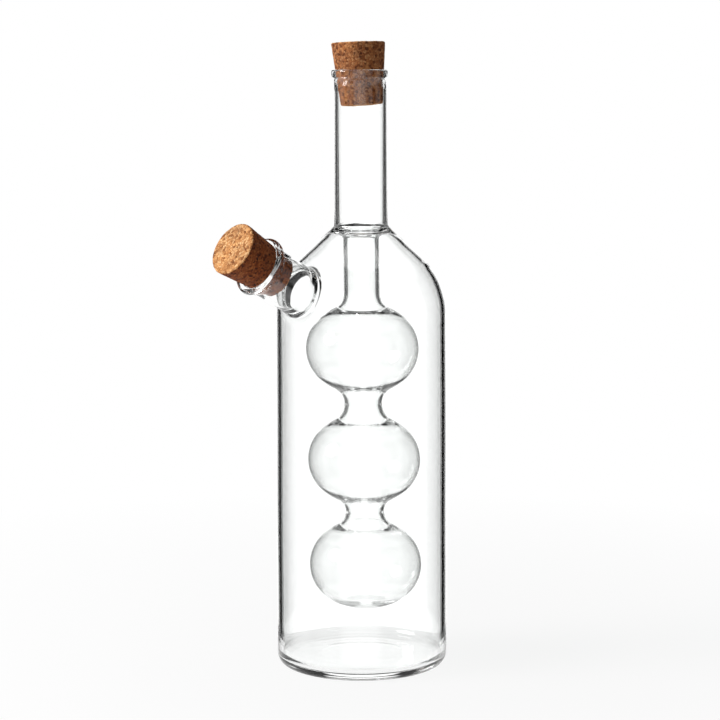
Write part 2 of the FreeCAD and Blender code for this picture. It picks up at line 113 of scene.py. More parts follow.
# White panels of the studio that glass shows: bearing from -Y over +X, half width and soft edge
# in degrees, level, and the share of it in rays that the glass mirrored on their way. The gaps
# are the dark studio that draws the lines of clear glass.
PANELS = ((0, 12, 5, 1, 0.3), (45, 12, 5, 1, 0.3), (88, 7, 4, 0.9, 0.1), (138.3, 15.5, 3.5, 1, 1),
          (182, 8, 3, 0.9, 0.1), (225, 13, 5, 1, 0.3), (270, 13, 5, 1, 0.3), (316, 22, 12, 1, 1))
EDGE_LEVEL = 0.88               # a panel's brightness at its half width, against its middle
PANEL_TOP = (30, 44)            # elevations between which the panels fade into the dark
FLOOR_GLOW = (-30, -42)         # and those between which the floor's white takes over
PANEL_LEVEL, SKY_LEVEL = 1.25, 0.12
NEAR_FLOOR, FAR_FLOOR = 0.06, 8.0               # radii in metres
FLOOR_FADE = (0.08, 0.4, 0.8, 1.0)      # two distances from the bottle, and the white share at each
LAMPS = (("key", 0.3, -1.3, 0.8, 0.8, 27),      # towards and beside the camera, height, size, W
         ("fill", 0.9, 1.0, 0.7, 1.0, 0.8),
         ("top", 0.0, 0.0, 1.6, 1.0, 5))
LAMP_AIM_Z = 0.15

SPOUT_AXIS = np.array((-math.cos(SPOUT_RISE), 0.0, math.sin(SPOUT_RISE)))
SPOUT_SIDE = np.array((0.0, 1.0, 0.0))
SPOUT_UP = np.cross(SPOUT_AXIS, SPOUT_SIDE)
PIVOT = np.array((0.0, 0.0, SPOUT_PIVOT))

# camera: azimuth about the bottle's axis, from which the spout is 48 degrees to the left
AZIMUTH, CAM_AWAY, CAM_Z, AIM_Z = math.radians(-41.7), 0.968, 0.264, 0.1364
AIM_ASIDE, ROLL = -0.00057, math.radians(-0.16)
LENS, SENSOR, CLIP = 110.4, 36, 0.05
BACK = Vector((math.sin(AZIMUTH), -math.cos(AZIMUTH), 0))
RIGHT = Vector((-BACK.y, BACK.x, 0))


# ---------------------------------------------------------------- profiles
class Path:
    """A profile of radius and height, sampled along straight runs and arcs."""

    def __init__(self, r, z):
        self.points = [np.array((r, z), float)]

    def line(self, r, z, step=3.5):
        start, end = self.points[-1], np.array((r, z), float)
        count = max(1, math.ceil(np.linalg.norm(end - start) / step))
        self.points += [start + (end - start) * k / count for k in range(1, count + 1)]

    def arc(self, centre, r, z, step=1.6, clockwise=False):
        """An arc about a centre from the last point to the bearing of (r, z)."""
        centre = np.array(centre, float)
        start, end = self.points[-1] - centre, np.array((r, z)) - centre
        radius = np.linalg.norm(start)
        first, last = math.atan2(start[1], start[0]), math.atan2(end[1], end[0])
        if clockwise and last > first:
            last -= 2 * math.pi
        if not clockwise and last < first:
            last += 2 * math.pi
        sweep = abs(last - first)
        count = max(2, math.ceil(sweep * radius / step), math.ceil(sweep / 0.22))
        for k in range(1, count + 1):
            angle = first + (last - first) * k / count
            self.points.append(centre + radius * np.array((math.cos(angle), math.sin(angle))))

    def array(self):
        return np.array(self.points)


def relax(path, sigma):
    """Softens the changes of curvature along a profile, its two ends held."""
    step = np.linalg.norm(np.diff(path, axis=0), axis=1)
    place = np.concatenate(([0.0], np.cumsum(step)))
    weight = np.zeros(len(path))
    weight[1:] += step / 2
    weight[:-1] += step / 2
    out = path.copy()
    for k in range(1, len(path) - 1):
        reach = min(sigma, 0.3 * min(place[k], place[-1] - place[k]))
        near = np.exp(-0.5 * ((place - place[k]) / reach) ** 2) * weight
        near[k] += 1e-9
        mean = (path * near[:, None]).sum(0) / near.sum()
        drift = (place * near).sum() / near.sum() - place[k]
        ahead = (path[k + 1] - path[k - 1]) / (place[k + 1] - place[k - 1])
        out[k] = mean - ahead * drift
    return out


def ease_shoulder(path):
    """Lets the shoulder's arc and its cone run into each other as blown glass does."""
    r, z = path.T
    share = smooth((z - DOME_Z) / 8) * smooth((r - 16) / 5)
    return path + share[:, None] * (relax(path, SHOULDER_EASE) - path)


def smooth(t):
    t = np.clip(t, 0, 1)
    return t * t * (3 - 2 * t)


def mix(a, b, t):
    return a + (b - a) * t


def drop_of(half):
    """How far past a bulb's middle its crown's arc is centred."""
    return ((BULB_R - BULB_SIDE) ** 2 / (half - BULB_SIDE) - (half - BULB_SIDE)) / 2


def towards(start, end, distance):
    start, end = np.array(start, float), np.array(end, float)
    return start + (end - start) / np.linalg.norm(end - start) * distance


def stack_outside(top):
    """The hanging vessel's outside, from its tube down to the axis under the low bulb."""
    path = Path(TUBE_R, top)
    for k, z in enumerate(BULBS):
        neck, bend = NECKS[k]
        low = k == len(BULBS) - 1
        crown, drop = BULB_HALF + drop_of(BULB_HALF), drop_of(BULB_HALF)
        middle = (BULB_R - BULB_SIDE, z)
        crown_at = (0, z - drop)
        level = crown_at[1] + math.sqrt((crown + bend) ** 2 - (neck + bend) ** 2)
        path.line(neck, level, 2.5)
        centre = (neck + bend, level)
        path.arc(centre, *towards(crown_at, centre, crown), step=1.0)
        shoulder = towards(crown_at, middle, crown)
        path.arc(crown_at, *shoulder, clockwise=True)
        half = LOW_HALF if low else BULB_HALF
        drop = drop_of(half)
        crown = half + drop
        under_at = (0, z + drop)
        path.arc(middle, *towards(under_at, middle, crown), clockwise=True)
        if low:
            path.arc(under_at, 0, z - half, step=1.3, clockwise=True)
        else:
            neck, bend = NECKS[k + 1]
            level = under_at[1] - math.sqrt((crown + bend) ** 2 - (neck + bend) ** 2)
            centre = (neck + bend, level)
            path.arc(under_at, *towards(under_at, centre, crown), clockwise=True)
            path.arc(centre, neck, level, step=1.0)
    return relax(path.array(), 1.0)


def stack_inside(outside):
    """The same vessel's inside: thick in its necks and its tip, thin round the bulbs."""
    ahead = np.gradient(outside, axis=0)
    ahead /= np.linalg.norm(ahead, axis=1)[:, None]
    ahead[-1] = (-1, 0)
    inward = np.stack((ahead[:, 1], -ahead[:, 0]), 1)
    r, z = outside.T
    wall = mix(TUBE_WALL, THIN, smooth((r - THINS_FROM) / THINS_OVER))
    low = z < BULBS[2] - 8
    wall[low] = mix(TIP_THICK, THIN, smooth((r[low] - TIP_FROM) / TIP_OVER))
    wall += COLLAR * np.exp(-((r - COLLAR_R) / COLLAR_SPREAD) ** 2) * (ahead[:, 0] > 0)
    inside = outside + inward * wall[:, None]
    inside[-1, 0] = 0
    return inside


def add_shoulder(path, wall, reach, off):
    """Adds the shoulder's arc and its cone, so far inside the outer face.

    The cone ends beside a centre at a radius and at a distance off it, above it or below, and
    that centre is returned.
    """
    path.line(BODY_R - wall, DOME_Z, 11.0)
    bend, lean = SHOULDER_BEND - wall, np.array((math.sin(SHOULDER_SLOPE), math.cos(SHOULDER_SLOPE)))
    cone = np.array((SHOULDER_R, DOME_Z)) + bend * lean
    path.arc((SHOULDER_R, DOME_Z), *cone, step=1.5)
    level = cone[1] + (cone[0] - reach) * math.tan(SHOULDER_SLOPE) + off / math.cos(SHOULDER_SLOPE)
    centre = np.array((reach, level))
    path.line(*(centre - off * lean), 1.8)
    return centre


def exterior():
    """From the middle of the base over wall, shoulder, neck and lip down to the inner tube."""
    path = Path(0, DISH_RISE)
    path.line(DISH_FLAT, DISH_RISE, 4.5)
    path.line(DISH_R, 0, 1.6)
    path.line(BODY_R - HEEL, 0, 1.5)
    path.arc((BODY_R - HEEL, HEEL), BODY_R, HEEL, step=0.7)
    flare = add_shoulder(path, 0, NECK_FOOT_R + FLARE, FLARE)
    path.arc(flare, NECK_FOOT_R, flare[1], step=0.4, clockwise=True)
    path.line(NECK_TOP_R, GLASS_Z - LIP_H, 7.0)
    bulge = LIP_R - NECK_TOP_R
    body = ease_shoulder(relax(path.array(), 0.8))
    path = Path(*body[-1])
    path.arc((NECK_TOP_R, GLASS_Z - LIP_H + bulge), LIP_R, GLASS_Z - LIP_H + bulge, step=0.3)
    path.line(LIP_R, GLASS_Z - 1.1, 0.5)
    path.arc((LIP_R - 0.9, GLASS_Z - 1.1), LIP_R - 1.0, GLASS_Z - 0.2, step=0.2)
    mouth = CORK_TOP - CORK_TAPER * (NECK_CORK_SHOWN + LIP_EDGE) + CORK_PLAY
    path.arc((mouth + LIP_EDGE, GLASS_Z - LIP_EDGE - 0.2), mouth, GLASS_Z - LIP_EDGE - 0.2,
             step=0.2)
    path.line(NECK_BORE, GLASS_Z - (mouth - NECK_BORE) / CORK_TAPER)
    path.line(NECK_BORE, SEAL_Z + 1, 7.0)
    bore = TUBE_R - TUBE_WALL
    sweep = math.acos(1 - (NECK_BORE - bore) / (2 * SEAL_BEND))
    upper = np.array((NECK_BORE - SEAL_BEND, SEAL_Z))
    lower = upper + 2 * SEAL_BEND * np.array((math.cos(sweep), -math.sin(sweep)))
    path.line(NECK_BORE, SEAL_Z)
    path.arc(upper, *((upper + lower) / 2), step=0.4, clockwise=True)
    path.arc(lower, bore, lower[1], step=0.4)
    lip = relax(path.array(), 0.22)
    return np.concatenate((body, lip[1:]))


def chamber_top():
    """From the middle of the floor over the inside of wall and shoulder to the inner tube."""
    path = Path(0, FLOOR_Z + DISH_RISE)
    path.line(DISH_FLAT, FLOOR_Z + DISH_RISE, 4.5)
    wall = BODY_R - BODY_WALL
    path.line(wall - FLOOR_BEND, FLOOR_Z, 1.6)
    path.arc((wall - FLOOR_BEND, FLOOR_Z + FLOOR_BEND), wall, FLOOR_Z + FLOOR_BEND, step=0.7)
    centre = add_shoulder(path, BODY_WALL, TUBE_R + SEAL_FILLET, -SEAL_FILLET)
    path.arc(centre, TUBE_R, centre[1], step=0.6)
    return ease_shoulder(relax(path.array(), 0.8))


# ---------------------------------------------------------------- meshes
class Net:
    """Vertices and faces of one mesh while it is put together."""

    def __init__(self):
        self.verts, self.faces = [], []

    def add(self, points):
        first = len(self.verts)
        self.verts += [np.asarray(p, float) for p in points]
        return list(range(first, len(self.verts)))

    def strip(self, lower, upper):
        count = len(lower)
        for k in range(count):
            n = (k + 1) % count
            self.faces.append((lower[k], lower[n], upper[n], upper[k]))

    def cap(self, ring, point):
        tip, = self.add([point])
        count = len(ring)
        self.faces += [(ring[k], ring[(k + 1) % count], tip) for k in range(count)]

    def halve(self, fine, coarse):
        """Joins a ring to one with half as many vertices."""
        count = len(coarse)
        for k in range(count):
            first, middle, last = (fine[(2 * k + step) % len(fine)] for step in range(3))
            here, ahead = coarse[k], coarse[(k + 1) % count]
            self.faces += [(first, middle, here), (middle, ahead, here), (middle, last, ahead)]

    def lathe(self, profile, count, coarse_from=None):
        """Revolves a profile from axis to axis, with half the faces from a place along it on."""
        rings = []
        for place, (r, z) in enumerate(profile[1:-1], start=1):
            here = count if coarse_from is None or place < coarse_from else count // 2
            angle = np.arange(here) * 2 * math.pi / here
            rings.append(self.add(np.stack((r * np.cos(angle), r * np.sin(angle),
                                            np.full(here, z)), 1)))
        for lower, upper in zip(rings, rings[1:]):
            join = self.strip if len(lower) == len(upper) else self.halve
            join(lower, upper)
        self.cap(rings[0], (0, 0, profile[0][1]))
        self.cap(rings[-1], (0, 0, profile[-1][1]))

    def open_up(self, chosen, first_face):
        """Drops the faces that touch a chosen vertex and returns the loop round the hole."""
        kept, border = [], {}
        for face in self.faces[first_face:]:
            if any(v in chosen for v in face):
                for a, b in zip(face, face[1:] + face[:1]):
                    border[frozenset((a, b))] = border.get(frozenset((a, b)), 0) + 1
            else:
                kept.append(face)
        self.faces[first_face:] = kept
        links = {}
        for pair, uses in border.items():
            if uses == 1:
                a, b = pair
                links.setdefault(a, []).append(b)
                links.setdefault(b, []).append(a)
        start = min(links)
        loop, last = [start], None
        while True:
            ahead = [v for v in links[loop[-1]] if v != last]
            last = loop[-1]
            if ahead[0] == start and len(loop) > 2 or len(loop) > len(links):
                break
            loop.append(ahead[0])
        return loop

    def zip_up(self, outer, inner):
        """Fills the gap between two loops round the spout with triangles."""
        outer, inner = (turned(self, loop) for loop in (outer, inner))
        place = np.array(self.verts)
        first = int(np.argmin(np.linalg.norm(place[inner] - place[outer[0]], axis=1)))
        inner = inner[first:] + inner[:first]
        a = b = 0
        while a < len(outer) or b < len(inner):
            here, there = outer[a % len(outer)], inner[b % len(inner)]
            next_a, next_b = outer[(a + 1) % len(outer)], inner[(b + 1) % len(inner)]
            long_a = np.linalg.norm(place[next_a] - place[there])
            long_b = np.linalg.norm(place[next_b] - place[here])
            if b >= len(inner) or (a < len(outer) and long_a <= long_b):
                self.faces.append((here, next_a, there))
                a += 1
            else:
                self.faces.append((here, next_b, there))
                b += 1


def bearing(points):
    """The angle of points about the spout's axis, and their distance from it and along it."""
    away = np.asarray(points) - PIVOT
    side, up, along = away @ SPOUT_SIDE, away @ SPOUT_UP, away @ SPOUT_AXIS
    return np.arctan2(up, side), np.hypot(side, up), along


def turned(net, loop):
    angle = bearing(np.array(net.verts)[loop])[0]
    change = (np.diff(np.append(angle, angle[0])) + math.pi) % (2 * math.pi) - math.pi
    return loop if change.sum() > 0 else loop[::-1]


def spout_point(distance, angle, along):
    return (PIVOT + distance * (math.cos(angle) * SPOUT_SIDE + math.sin(angle) * SPOUT_UP)
            + along * SPOUT_AXIS)


def off_body(points, wall):
    """How far points lie outside the body's face that runs so far inside its outer one."""
    x, y, z = np.asarray(points).T
    out, up = np.hypot(x, y) - SHOULDER_R, z - DOME_Z
    arc = np.hypot(out, up)
    cone = out * math.sin(SHOULDER_SLOPE) + up * math.cos(SHOULDER_SLOPE)
    past = np.where(up * math.tan(SHOULDER_SLOPE) > out, cone, arc)
    return np.where(up < 0, out, past) - SHOULDER_BEND + wall


def reach_body(wall, distance, angle):
    """How far along the spout's axis a line beside it leaves the body's face."""
    inner, outer = 10.0, 70.0
    for _ in range(30):
        middle = (inner + outer) / 2
        if off_body(spout_point(distance, angle, middle), wall) < 0:
            inner = middle
        else:
            outer = middle
    return middle


def near_spout(net, first, limit, wall):
    """The vertices of a face of the body, on the spout's side, nearer its axis than a limit."""
    place = np.array(net.verts[first:])
    _, distance, along = bearing(place)
    near = (distance < limit) & (along > 0) & (np.abs(off_body(place, wall)) < 0.6)
    return set((np.nonzero(near)[0] + first).tolist())


def spout_rings(net):
    """The spout as rings, from the shoulder's outside over weld and lip to its inside."""
    angles = np.arange(SPOUT_AROUND) * 2 * math.pi / SPOUT_AROUND
    rings = []

    def ring(rule):
        """A ring whose rule gives its distance from the axis and its place along it."""
        places = [(angle, *rule(angle)) for angle in angles]
        rings.append(net.add([spout_point(distance, angle, along)
                              for angle, distance, along in places]))

    def weld_at(u, angle):
        distance = SPOUT_R + WELD - WELD * math.sin(u)
        return distance, reach_body(0, distance, angle) + WELD * (1 - math.cos(u))

    def edge_at(u, angle):
        distance = SPOUT_HOLE + HOLE_EDGE - HOLE_EDGE * math.sin(u)
        return distance, reach_body(BODY_WALL, distance, angle) + HOLE_EDGE * (1 - math.cos(u))

    def blend(start, end, shares):
        """Rings from one closed curve to another, at each share of the way."""
        for t in shares:
            ring(lambda angle: [mix(a, b, t) for a, b in zip(start(angle), end(angle))])

    out = SPOUT_R + WELD + WELD_SKIRT
    ring(lambda angle: (out, reach_body(0, out, angle)))
    for k in range(9):
        u = k / 8 * math.pi / 2
        ring(lambda angle: weld_at(u, angle))
    foot = SPOUT_END - SPOUT_LIP_H
    blend(lambda angle: weld_at(math.pi / 2, angle), lambda angle: (SPOUT_R, foot),
          np.arange(1, 9) / 8)
    bulge = SPOUT_LIP - SPOUT_R
    lip = Path(SPOUT_R, foot)
    lip.arc((SPOUT_R, foot + bulge), SPOUT_LIP, foot + bulge, step=0.35)
    lip.line(SPOUT_LIP, SPOUT_END - 1.2, 0.5)
    lip.arc((SPOUT_LIP - 1.0, SPOUT_END - 1.2), SPOUT_LIP - 1.1, SPOUT_END - 0.2, step=0.25)
    mouth = CORK_TOP - CORK_TAPER * (SPOUT_CORK_SHOWN + LIP_EDGE) + CORK_PLAY
    lip.arc((mouth + LIP_EDGE, SPOUT_END - LIP_EDGE - 0.2), mouth, SPOUT_END - LIP_EDGE - 0.2,
            step=0.25)
    lip.line(SPOUT_BORE, SPOUT_END - (mouth - SPOUT_BORE) / CORK_TAPER)
    lip.line(SPOUT_BORE, SPOUT_WIDENS)
    for distance, along in relax(lip.array(), 0.25)[1:]:
        ring(lambda angle: (distance, along))
    blend(lambda angle: (SPOUT_BORE, SPOUT_WIDENS), lambda angle: edge_at(math.pi / 2, angle),
          np.arange(1, 7) / 6)
    for k in range(5, -1, -1):
        u = k / 6 * math.pi / 2
        ring(lambda angle: edge_at(u, angle))
    deep = SPOUT_HOLE + HOLE_EDGE + HOLE_SKIRT
    ring(lambda angle: (deep, reach_body(BODY_WALL, deep, angle)))
    for low, high in zip(rings, rings[1:]):
        net.strip(low, high)
    return rings


def place_object(name, data):
    made = bpy.data.objects.new(name, data)
    bpy.context.scene.collection.objects.link(made)
    return made


def make_object(name, net, material):
    mesh = bpy.data.meshes.new(name)
    mesh.from_pydata([tuple(v * MM) for v in net.verts], [], net.faces)
    work = bmesh.new()
    work.from_mesh(mesh)
    bmesh.ops.delete(work, geom=[v for v in work.verts if not v.link_faces], context="VERTS")
    bmesh.ops.recalc_face_normals(work, faces=work.faces)
    work.to_mesh(mesh)
    work.free()
    mesh.shade_smooth()
    mesh.materials.append(material)
    return place_object(name, mesh)


# ---------------------------------------------------------------- node helpers
class Shading:
    """The node tree of a material or a world, with short calls that add linked nodes."""

    def __init__(self, owner, output):
        owner.use_nodes = True
        self.tree = owner.node_tree
        self.tree.nodes.clear()
        self.output = self.tree.nodes.new(output)

    def feed(self, socket, value):
        if isinstance(value, bpy.types.NodeSocket):
            self.tree.links.new(value, socket)
        else:
            socket.default_value = value

    def add(self, kind, settings=None, **inputs):
        """A node; an input is named by its label with underscores for spaces."""
        made = self.tree.nodes.new(kind)
        for name, value in (settings or {}).items():
            setattr(made, name, value)
        for name, value in inputs.items():
            self.feed(made.inputs[name.replace("_", " ")], value)
        return made

    def math(self, operation, *values):
        made = self.tree.nodes.new("ShaderNodeMath")
        made.operation = operation
        for socket, value in zip(made.inputs, values):
            self.feed(socket, value)
        return made.outputs[0]

    def span(self, value, low, high, start=0.0, end=1.0):
        """Maps the run from low to high onto the run from start to end, and stops there."""
        return self.add("ShaderNodeMapRange", Value=value, From_Min=low, From_Max=high,
                        To_Min=start, To_Max=end).outputs[0]

    def ramp(self, value, stops):
        """A colour for a value, from (place, colour) stops in rising order."""
        made = self.add("ShaderNodeValToRGB", Fac=value)
        elements = made.color_ramp.elements
        elements[0].position, elements[0].color = stops[0][0], (*stops[0][1], 1)
        elements.remove(elements[1])
        for place, colour in stops[1:]:
            elements.new(place).color = (*colour, 1)
        return made.outputs[0]

    def tint(self, share, colour, other):
        """Multiplies a share of another colour into a colour."""
        made = self.add("ShaderNodeMix", {"data_type": "RGBA", "blend_type": "MULTIPLY"})
        for socket, value in zip((made.inputs[0], made.inputs[6], made.inputs[7]),
                                 (share, colour, other)):
            self.feed(socket, (*value, 1) if isinstance(value, tuple) else value)
        return made.outputs[2]

    def either(self, share, first, second):
        """A mix of two shaders."""
        made = self.tree.nodes.new("ShaderNodeMixShader")
        for socket, value in zip(made.inputs, (share, first, second)):
            self.feed(socket, value)
        return made.outputs[0]

    def finish(self, shader):
        self.tree.links.new(shader, self.output.inputs[0])


def new_material(name):
    material = bpy.data.materials.new(name)
    return material, Shading(material, "ShaderNodeOutputMaterial")


# ---------------------------------------------------------------- the glass
def glass_material():
    """Clear glass, and only a little darker than air for light on its way to the floor."""
    material, shading = new_material("clear_glass")
    glass = shading.add("ShaderNodeBsdfPrincipled", Base_Color=(0.992, 0.998, 0.995, 1),
                        Roughness=0.0, IOR=1.47, Transmission_Weight=1.0)
    clear = shading.add("ShaderNodeBsdfTransparent", Color=(0.93, 0.94, 0.935, 1))
    path = shading.add("ShaderNodeLightPath")
    shading.finish(shading.either(path.outputs["Is Shadow Ray"], glass.outputs[0],
                                  clear.outputs[0]))
    return material


def blown(place, inner):
    """Moves vertices a little, as glass made by hand is uneven; inner marks the hung vessel."""
    x, y, z = place.T
    angle = np.arctan2(y, x)
    hung = np.clip(VESSEL_TOP - z, 0, None) * LEAN_OF_VESSEL * inner
    slim = np.hypot(x, y) < SLIM
    lip = smooth((z - LIP_FOOT_Z) / 6) * LIP_ASIDE * slim
    outer_swell = (BASE_SWELL * np.clip(1 - z / DOME_Z, 0, 1)
                   + BODY_OVAL * np.sin(2 * angle + z / 31) + BODY_WAVE * np.sin(z / 13 + angle)
                   + SEAL_LUMPS * np.exp(-((z - SEAL_Z + 2) / SEAL_SPREAD) ** 2) * slim
                   * np.sin(3 * angle + z) * np.sin(2 * angle - 0.6))
    swell = 1 + np.where(inner > 0, VESSEL_WAVE * np.sin(3 * angle + z / 19), outer_swell)
    aside = hung - lip
    return np.stack((x * swell + aside * RIGHT.x, y * swell + aside * RIGHT.y, z), 1)


def make_bottle(material):
    net = Net()
    outer, top = exterior(), chamber_top()
    seal = outer[-1][1]
    outside = stack_outside(min(seal, top[-1][1]) - 0.5)
    inside = stack_inside(outside)
    net.lathe(np.concatenate((outer, inside[inside[:, 1] < seal - 0.8])), AROUND, len(outer))
    loop_out = net.open_up(near_spout(net, 0, SPOUT_R + WELD + WELD_CLEAR, 0), 0)
    first, first_face = len(net.verts), len(net.faces)
    net.lathe(np.concatenate((top, outside[outside[:, 1] < top[-1][1] - 0.8])), AROUND, len(top))
    cleared = SPOUT_HOLE + HOLE_EDGE + HOLE_CLEAR
    loop_in = net.open_up(near_spout(net, first, cleared, BODY_WALL), first_face)
    rings = spout_rings(net)
    net.zip_up(loop_out, rings[0])
    net.zip_up(loop_in, rings[-1])
    place = np.array(net.verts)
    from_axis, z = np.hypot(place[:, 0], place[:, 1]), place[:, 2]
    hung = (from_axis < VESSEL_WITHIN) & (z > VESSEL_LOW) & (z < VESSEL_TOP)
    inner = np.where(hung, 1.0, 0.0)
    net.verts = list(blown(place, inner))
    bottle = make_object("bottle_glass", net, material)
    bottle.visible_diffuse = False      # lets even light through to the corks in the glass
    return bottle


# ---------------------------------------------------------------- the corks
def cork_material():
    """Ground cork: glued granules of several browns, dark specks and pits, the pits darkened partly
    as their own colour and partly as painted shade, and the side darkened as painted shade.
    """
    material, shading = new_material("cork")
    place = shading.add("ShaderNodeTexCoord").outputs["Object"]
    waver = shading.add("ShaderNodeTexNoise", Vector=place, Scale=700.0, Detail=2.0)
    shift = shading.add("ShaderNodeVectorMath", {"operation": "MULTIPLY_ADD"})
    shading.feed(shift.inputs[0], waver.outputs["Color"])
    shift.inputs[1].default_value = (GRAIN_WAVER,) * 3
    shading.feed(shift.inputs[2], place)
    grains = shading.add("ShaderNodeTexVoronoi", Vector=shift.outputs[0], Scale=GRAINS_PER_M)
    edges = shading.add("ShaderNodeTexVoronoi", {"feature": "DISTANCE_TO_EDGE"},
                        Vector=shift.outputs[0], Scale=GRAINS_PER_M).outputs["Distance"]
    specks = shading.add("ShaderNodeTexVoronoi", Vector=shift.outputs[0], Scale=SPECKS_PER_M)
    chosen = shading.add("ShaderNodeSeparateColor", Color=grains.outputs["Color"]).outputs[0]
    dark = shading.add("ShaderNodeSeparateColor", Color=specks.outputs["Color"]).outputs[1]
    broad = shading.add("ShaderNodeTexNoise", Vector=place, Scale=160.0, Detail=3.0).outputs[0]
    fine = shading.add("ShaderNodeTexNoise", Vector=place, Scale=2600.0, Detail=2.0).outputs[0]
    side = shading.add("ShaderNodeAttribute", {"attribute_name": "side"}).outputs["Fac"]
    pit = shading.add("ShaderNodeAttribute", {"attribute_name": "pit"}).outputs["Fac"]
    colour = shading.ramp(chosen, GRAIN_COLOURS)
    colour = shading.tint(1.0, colour, shading.ramp(broad, BROAD_SHADES))
    colour = shading.tint(shading.span(edges, 0.0, 0.16, 0.6, 0.0), colour, GAP_TINT)
    # dark specks are the cork's own, but more of them at the side is part of the side's painted
    # shade
    speck = shading.math("MULTIPLY", shading.span(dark, 0.85, 0.89),
                         shading.math("MULTIPLY_ADD", side, 0.55, 0.3))
    colour = shading.tint(speck, colour, SPECK_TINT)
    # painted shade: the side darker than the ends
    colour = shading.tint(side, colour, SIDE_SHADE_TINT)
    # the pits darker: partly their own colour, partly painted shade in the hollows
    colour = shading.tint(pit, colour, PIT_COLOUR_AND_SHADE)
    height = shading.math("ADD", shading.math("MULTIPLY", shading.span(edges, 0.0, 0.25), 0.7),
                          shading.math("MULTIPLY", fine, 0.5))
    bump = shading.add("ShaderNodeBump", Strength=0.7, Distance=0.0002, Height=height)
    skin = shading.add("ShaderNodeBsdfPrincipled", Base_Color=colour, Normal=bump.outputs[0],
                       Roughness=shading.span(broad, 0.3, 0.7, 0.72, 0.9))
    skin.inputs["Specular IOR Level"].default_value = 0.25
    shading.finish(skin.outputs[0])
    return material


def carve_cork(place, outward, chance):
    """The cork's vertices with granules, pits and chipped edges, and how deep each is pitted."""
    from_axis = np.hypot(place[:, 0], place[:, 1])
    to_end = np.minimum(place[:, 2], CORK_LEN - place[:, 2])
    to_side = mix(CORK_FOOT, CORK_TOP, place[:, 2] / CORK_LEN) - from_axis
    depth = np.zeros(len(place))
    for k, point in enumerate(place):
        _, centres = noise.voronoi(Vector(point) / GRANULE)
        relief = noise.noise(centres[0] * 7.3) + 0.5 * noise.noise(Vector(point) / 3.1)
        depth[k] = -GRANULE_RELIEF * relief
        if to_end[k] + to_side[k] < WORN_EDGE:
            worn = 1 - (to_end[k] + to_side[k]) / WORN_EDGE
            depth[k] += 0.5 * worn * max(0.0, noise.noise(Vector(point) / 1.9) - 0.12)
    pitted = np.zeros(len(place))
    for _ in range(PITS):
        middle = place[chance.integers(len(place))]
        size, deep = chance.uniform(*PIT_SIZE), chance.uniform(*PIT_DEPTH)
        stretch = chance.uniform(*PIT_STRETCH, 3)
        away = np.linalg.norm((place - middle) / stretch, axis=1) / size
        hollow = np.clip(1 - away ** 2, 0, 1) ** 1.5
        depth = np.maximum(depth, deep * hollow + depth * (1 - hollow))
        pitted = np.maximum(pitted, np.clip(1.4 * hollow, 0, 1))
    return place - outward * depth[:, None], pitted


def make_cork(name, foot, axis, material, seed, slant, side_shade):
    """A cork with its foot at a place.

    Its wide end is out of square by a slant in millimetres, and its side is darkened by a share as
    painted shade.
    """
    net = Net()
    path = Path(0, 0)
    path.line(CORK_FOOT - CORK_CHAMFER, 0, 0.5)
    path.line(CORK_FOOT, CORK_CHAMFER, 0.3)
    path.line(CORK_TOP, CORK_LEN - CORK_CHAMFER, 0.4)
    path.line(CORK_TOP - CORK_CHAMFER, CORK_LEN, 0.3)
    path.line(0, CORK_LEN, 0.5)
    net.lathe(path.array(), CORK_AROUND)
    piece = make_object(name, net, material)
    mesh = piece.data
    place, outward = np.empty(len(mesh.vertices) * 3), np.empty(len(mesh.vertices) * 3)
    mesh.vertices.foreach_get("co", place)
    mesh.vertices.foreach_get("normal", outward)
    place, outward = place.reshape(-1, 3) / MM, outward.reshape(-1, 3)
    # painted shade on the side, fading out on the two ends
    side = side_shade * smooth(1.6 - 2 * np.abs(outward[:, 2]))
    place, pitted = carve_cork(place, outward, np.random.default_rng(seed))
    along = place[:, 2] / CORK_LEN
    reach = np.hypot(place[:, 0], place[:, 1]) / CORK_FOOT
    place[:, 2] -= FOOT_HOLLOW * np.clip(1 - reach ** 2, 0, 1) * (1 - smooth(along * 4))
    place[:, 2] -= slant * (1 + place[:, 0] / CORK_TOP) / 2 * smooth(along * 2 - 1)
    for label, values in (("side", side), ("pit", pitted)):
        mesh.attributes.new(label, "FLOAT", "POINT").data.foreach_set("value", values)
    mesh.vertices.foreach_set("co", (place * MM).ravel())
    turn = Vector((0, 0, 1)).rotation_difference(Vector(axis))
    mesh.transform(Matrix.Translation(Vector(foot) * MM) @ turn.to_matrix().to_4x4())
    return piece


def cork_for_neck(material):
    """Leans in the neck about a point below the lip, its foot away from the spout."""
    lean = math.asin((CORK_PLAY - CORK_TOUCH) / LEAN_DEPTH)
    depth = CORK_LEN - NECK_CORK_SHOWN - LEAN_DEPTH
    way = np.array((math.cos(LEAN_TURN), math.sin(LEAN_TURN), 0))
    foot = (depth * math.sin(lean) * way
            + np.array((0, 0, GLASS_Z - LEAN_DEPTH - depth * math.cos(lean))))
    axis = np.array((0, 0, math.cos(lean))) - math.sin(lean) * way
    return make_cork("cork_in_neck", foot, axis, material, 3, NECK_CORK_SLANT,
                     NECK_CORK_SIDE_SHADE)


def cork_for_spout(material):
    """Lies in the spout, on the lower side of its mouth."""
    depth = SPOUT_END + SPOUT_CORK_SHOWN - CORK_LEN
    foot = PIVOT + depth * SPOUT_AXIS - (CORK_PLAY - CORK_TOUCH) * SPOUT_UP
    return make_cork("cork_in_spout", foot, SPOUT_AXIS, material, 8, SPOUT_CORK_SLANT,
                     SPOUT_CORK_SIDE_SHADE)


# ---------------------------------------------------------------- stage and light
def seen_ray(shading, names):
    """1 for a ray of one of these kinds, and 0 for the others."""
    path = shading.add("ShaderNodeLightPath")
    seen = path.outputs[names[0]]
    for name in names[1:]:
        seen = shading.math("MAXIMUM", seen, path.outputs[name])
    return seen


